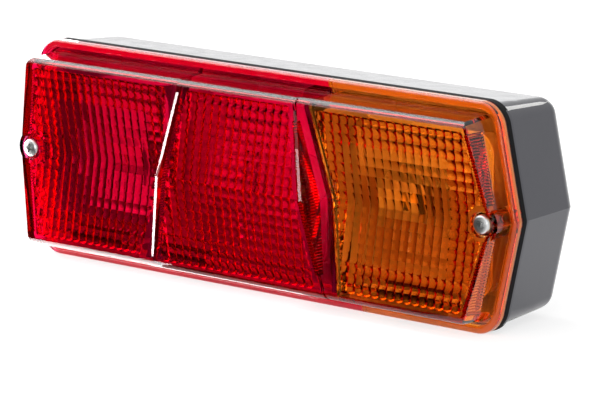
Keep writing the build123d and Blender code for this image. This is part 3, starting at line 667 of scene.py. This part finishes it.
def is_coarse_optic(point):
    """Whether a point is a corner of the coarse optics, which stand in a field behind the wall."""
    in_field = abs(point.z) < TOP_OPTICS + FIELD_SLACK
    in_field = in_field and abs(point.x) < END_OPTICS + FIELD_SLACK - abs(point.z) * END_VEE
    return in_field and COARSE_DEPTHS[0] < behind_wall(point, point) < COARSE_DEPTHS[1]


def select_slots(piece, slots):
    """Select the faces of some material slots, in edit mode."""
    bpy.ops.mesh.select_all(action="DESELECT")
    for slot in slots:
        piece.active_material_index = slot
        bpy.ops.object.material_slot_select()


def select_open_edges():
    """Select the edges that only one face holds, in edit mode."""
    bpy.ops.mesh.select_non_manifold(
        extend=False, use_wire=False, use_boundary=True, use_multi_face=False,
        use_non_contiguous=False, use_verts=False,
    )


def cut_lines(piece, slot, places, normal):
    """Cut the faces of a material slot along planes at a row of places."""
    for place in places:
        select_slots(piece, (slot,))
        bpy.ops.mesh.bisect(plane_co=place, plane_no=normal)


def clear_wall(piece):
    """Take the coarse optics off the wall, close it, and mark its sides and its middle by their slots."""
    bpy.ops.mesh.select_mode(type="FACE")
    bpy.ops.mesh.select_all(action="DESELECT")
    mesh = bmesh.from_edit_mesh(piece.data)
    for face in mesh.faces:
        face.select = any(is_coarse_optic(v.co) for v in face.verts)
    bmesh.update_edit_mesh(piece.data)
    bpy.ops.mesh.delete(type="FACE")
    bpy.ops.mesh.select_mode(type="EDGE")
    select_open_edges()
    bpy.ops.mesh.fill_holes(sides=0)
    bpy.ops.mesh.select_mode(type="FACE")
    bpy.ops.mesh.select_all(action="SELECT")
    bpy.ops.mesh.normals_make_consistent(inside=False)
    mesh = bmesh.from_edit_mesh(piece.data)
    for face in mesh.faces:
        centre = face.calc_center_median()
        on_wall = all(abs(behind_wall(v.co, centre)) < WALL_SLACK for v in face.verts)
        if on_wall and face.normal.y > FACING:
            face.material_index = CENTRE_SLOT if in_centre(centre) else SIDE_SLOT
            for vert in face.verts:
                vert.co.y -= behind_wall(vert.co, centre)
    bmesh.update_edit_mesh(piece.data)
    select_slots(piece, WALL_SLOTS)
    bpy.ops.mesh.dissolve_limited(angle_limit=FLAT_ANGLE)


def mould_optics(piece, side):
    """Mould fine optics on the inner wall in place of the coarse ones."""
    make_active(piece)
    bpy.ops.object.mode_set(mode="EDIT")
    clear_wall(piece)
    cut_lines(piece, SIDE_SLOT, [(side * SIDE_OPTICS, 0, 0)], (side, 0, SECTION_LEAN))
    for vee in (-END_VEE, END_VEE):
        cut_lines(piece, SIDE_SLOT, [(side * END_OPTICS, 0, 0)], (side, 0, vee))
    for lean in (-1, 1):
        cut_lines(piece, CENTRE_SLOT, [(lean * CENTRE_OPTICS, 0, 0)], (lean, 0, SECTION_LEAN))
    for slot in WALL_SLOTS:
        cut_lines(piece, slot, [(0, 0, -TOP_OPTICS), (0, 0, TOP_OPTICS)], (0, 0, 1))
    mesh = bmesh.from_edit_mesh(piece.data)
    for face in mesh.faces:
        centre = face.calc_center_median()
        if face.material_index and not has_optics(centre):
            if abs(centre.x) < COLLAR_PLACE - COLLAR_REACH or abs(face.normal.y) < FACING:
                face.material_index = 0
    bmesh.update_edit_mesh(piece.data)
    step = CELL / CELL_CUTS
    places = [FIRST_COLUMN + step * i for i in range(SIDE_CELLS * CELL_CUTS)]
    cut_lines(piece, SIDE_SLOT, [(side * x, 0, 0) for x in places], (1, 0, 0))
    reach = CENTRE_CELLS * CELL_CUTS
    places = [step * i for i in range(-reach, reach + 1)]
    cut_lines(piece, CENTRE_SLOT, [(x, 0, 0) for x in places], (1, 0, 0))
    rows = ROWS * CELL_CUTS
    for slot in WALL_SLOTS:
        cut_lines(piece, slot, [(0, 0, step * i) for i in range(1 - rows, rows)], (0, 0, 1))
    mesh = bmesh.from_edit_mesh(piece.data)
    for face in mesh.faces:
        if face.material_index and not has_optics(face.calc_center_median()):
            face.material_index = 0
    inner = [v for v in mesh.verts if all(face.material_index for face in v.link_faces)]
    for vert in inner:
        vert.co.y += optic_height(vert.co)
    bmesh.update_edit_mesh(piece.data)
    bpy.ops.mesh.select_all(action="SELECT")
    bpy.ops.mesh.normals_make_consistent(inside=False)
    bpy.ops.mesh.quads_convert_to_tris(quad_method="BEAUTY", ngon_method="BEAUTY")
    bpy.ops.object.mode_set(mode="OBJECT")


def chamfer_crests(piece):
    """Chamfer the crests where the middle section steps up from its neighbours."""
    bpy.ops.object.mode_set(mode="EDIT")
    rise = (RIDGE_DEPTH - EDGE_DEPTH) / EDGE_HALF

    def on_front(point):
        return abs(point.y + RIDGE_DEPTH - abs(point.z) * rise) < FRONT_SLACK

    def on_crest(point):
        return abs(abs(point.x) - CENTRE_HALF + point.z * SECTION_LEAN) < CREST_SLACK

    cuts = [
        ((side * (CENTRE_HALF - width * math.hypot(1, SECTION_LEAN)), 0, 0), (side, 0, SECTION_LEAN))
        for side, width in CREST_WIDTHS.items()
    ]
    cuts += [((0, 0, end), (0, 0, 1)) for end in (-CREST_END, CREST_END)]
    for place, normal in cuts:
        bpy.ops.mesh.select_all(action="DESELECT")
        mesh = bmesh.from_edit_mesh(piece.data)
        for face in mesh.faces:
            points = [v.co for v in face.verts]
            front = all(on_front(p) and (on_crest(p) or in_centre(p)) for p in points)
            face.select = front or (all(on_crest(p) for p in points) and abs(face.normal.y) < FACING)
        bmesh.update_edit_mesh(piece.data)
        bpy.ops.mesh.bisect(plane_co=place, plane_no=normal)
    mesh = bmesh.from_edit_mesh(piece.data)
    for vert in mesh.verts:
        if on_crest(vert.co) and on_front(vert.co) and abs(vert.co.z) < CREST_END + HAIR:
            vert.co.y += CREST_WIDTHS[1 if vert.co.x > 0 else -1] * CREST_SLOPE
    bmesh.update_edit_mesh(piece.data)
    bpy.ops.mesh.select_all(action="DESELECT")
    bpy.ops.object.mode_set(mode="OBJECT")


def drop_flaps(piece):
    """Take off slivers that hang on a moulding by one edge alone."""
    make_active(piece)
    bpy.ops.object.mode_set(mode="EDIT")
    bpy.ops.mesh.select_mode(type="VERT")
    select_open_edges()
    bpy.ops.mesh.select_mode(type="FACE")
    bpy.ops.mesh.delete(type="FACE")
    bpy.ops.object.mode_set(mode="OBJECT")


def ease_joint(piece, side):
    """Draw a moulding back from the weld by a hair, so that the two don't share a face."""
    for vert in piece.data.vertices:
        if abs(vert.co.x + vert.co.z * SECTION_LEAN - JOINT_PLACE) < HAIR:
            vert.co.x += side * JOINT_SLACK


def clear_acrylic(name, colour, density):
    """Clear moulded acrylic that takes its colour from its thickness."""
    acrylic, tree, shader = add_material(name)
    shader.inputs["Base Color"].default_value = (1, 1, 1, 1)
    haze = add_grain(tree, 70.0, 0.0, 0.02)
    tree.links.new(haze.outputs["Value"], shader.inputs["Roughness"])
    shader.inputs["IOR"].default_value = 1.49
    shader.inputs["Transmission Weight"].default_value = 1.0
    absorption = tree.nodes.new("ShaderNodeVolumeAbsorption")
    absorption.inputs["Color"].default_value = colour
    absorption.inputs["Density"].default_value = density
    tree.links.new(absorption.outputs[0], tree.nodes["Material Output"].inputs["Volume"])
    return acrylic


lens_red = merged_copy("lens_red")
lens_amber = merged_copy("lens_amber")
red_acrylic = clear_acrylic("red_acrylic", *RED_ABSORPTION)
amber_acrylic = clear_acrylic("amber_acrylic", *AMBER_ABSORPTION)
for piece, acrylic, side in ((lens_red, red_acrylic, -1), (lens_amber, amber_acrylic, 1)):
    for _ in (0, *WALL_SLOTS):
        piece.data.materials.append(acrylic)
    mould_optics(piece, side)
    if piece is lens_red:
        chamfer_crests(piece)
    drop_flaps(piece)
    ease_joint(piece, side)
    for face in piece.data.polygons:
        face.material_index = 0
    while len(piece.data.materials) > 1:
        piece.data.materials.pop()
    smooth_flats(piece)

# Lens screws: zinc plated pan heads with a cross recess, one at each point of the lens.
# Each head is turned up as a low dome, and the recess is pressed into it. What stands for the round shank
# is only a thin blade, drawn from one face of the head's underside.
HEAD_SIDES = 48
HEAD_RINGS = (
    (0.004, 0.0008), (0.00392, 0.0012), (0.0036, 0.0017),
    (0.003, 0.00205), (0.002, 0.0023), (0.001, 0.0024),
)
SHANK_RADIUS = 0.002
SHANK_LENGTH = 0.018
TIP_LENGTH = 0.002
TIP_SHRINK = 0.35
CROSS_SIZE = (0.0048, 0.0015)
CROSS_DEPTH = 0.0018
CROSS_TAPER = 0.55
SEAT_PLACE = -0.0541
SCREW_TURNS = ((-0.1192, math.radians(12)), (0.1192, math.radians(38)))


def draw_out(screw, chosen, length, shrink):
    """Draw one chosen face of a screw out along its axis, and shrink it."""
    bpy.ops.mesh.select_all(action="DESELECT")
    mesh = bmesh.from_edit_mesh(screw.data)
    chosen(mesh.faces).select = True
    bmesh.update_edit_mesh(screw.data)
    bpy.ops.mesh.extrude_region_move(TRANSFORM_OT_translate={"value": (0, 0, length)})
    bpy.ops.transform.resize(value=(shrink, shrink, 1))


def highest_face(faces):
    """Top of the head."""
    return max(faces, key=lambda face: face.calc_center_median().z)


def lowest_face(faces):
    """Smallest of a screw's lowest faces."""
    return min(faces, key=lambda face: (face.calc_center_median().z, face.calc_area()))


def press_groove(screw, half_turn):
    """Press one tapered groove of the cross recess into the head."""
    bpy.ops.object.select_all(action="DESELECT")
    bpy.ops.mesh.primitive_cube_add(size=1, location=(0, 0, HEAD_RINGS[-1][1]))
    cutter = bpy.context.object
    cutter.scale = (CROSS_SIZE[0], CROSS_SIZE[1], 2 * CROSS_DEPTH)
    cutter.rotation_euler = (0, 0, half_turn)
    bpy.ops.object.transform_apply(location=True, rotation=True, scale=True)
    bpy.ops.object.mode_set(mode="EDIT")
    bpy.ops.mesh.select_all(action="DESELECT")
    mesh = bmesh.from_edit_mesh(cutter.data)
    for vert in mesh.verts:
        vert.select = vert.co.z < HEAD_RINGS[-1][1]
    mesh.select_flush_mode()
    bmesh.update_edit_mesh(cutter.data)
    bpy.ops.transform.resize(value=(CROSS_TAPER, CROSS_TAPER, 1))
    bpy.ops.object.mode_set(mode="OBJECT")
    make_active(screw)
    press = screw.modifiers.new("press", "BOOLEAN")
    press.operation = "DIFFERENCE"
    press.object = cutter
    bpy.ops.object.modifier_apply(modifier=press.name)
    bpy.data.objects.remove(cutter)


def model_screw(name):
    """Lens screw that stands on the origin, its head up."""
    bpy.ops.object.select_all(action="DESELECT")
    bpy.ops.mesh.primitive_cylinder_add(
        vertices=HEAD_SIDES, radius=HEAD_RINGS[0][0], depth=HEAD_RINGS[0][1],
        location=(0, 0, HEAD_RINGS[0][1] / 2),
    )
    screw = bpy.context.object
    screw.name = name
    bpy.ops.object.transform_apply(location=True, rotation=False, scale=False)
    bpy.ops.object.mode_set(mode="EDIT")
    bpy.ops.mesh.select_mode(type="FACE")
    for start, ring in zip(HEAD_RINGS, HEAD_RINGS[1:]):
        draw_out(screw, highest_face, ring[1] - start[1], ring[0] / start[0])
    draw_out(screw, lowest_face, 0, SHANK_RADIUS / HEAD_RINGS[0][0])
    draw_out(screw, lowest_face, TIP_LENGTH - SHANK_LENGTH, 1)
    draw_out(screw, lowest_face, -TIP_LENGTH, TIP_SHRINK)
    bpy.ops.object.mode_set(mode="OBJECT")
    for half_turn in (0, math.pi / 2):
        press_groove(screw, half_turn)
    return screw


bright_zinc, tree, shader = add_material("bright_zinc")
worn = add_grain(tree, 400.0, 0.28, 0.4)
tree.links.new(worn.outputs["Value"], shader.inputs["Roughness"])
shine = add_grain(tree, 300.0, 0.0, 1.0)
worn_silver = mix_colours(tree, shine.outputs["Value"], (0.5, 0.51, 0.52, 1), (0.62, 0.62, 0.6, 1))
tree.links.new(worn_silver, shader.inputs["Base Color"])
shader.inputs["Metallic"].default_value = 1.0
first_screw = model_screw("lens_screw_1")
second_screw = bpy.data.objects.new("lens_screw_2", first_screw.data.copy())
scene.collection.objects.link(second_screw)
for screw, (along, turned) in zip((first_screw, second_screw), SCREW_TURNS):
    screw.rotation_euler = (math.pi / 2, turned, 0)
    screw.location = (along, SEAT_PLACE, 0)
    make_active(screw)
    bpy.ops.object.transform_apply(location=True, rotation=True, scale=True)
    smooth_flats(screw)
    screw.data.materials.append(bright_zinc)
    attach(screw, "root")
    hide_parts("lens_screws")
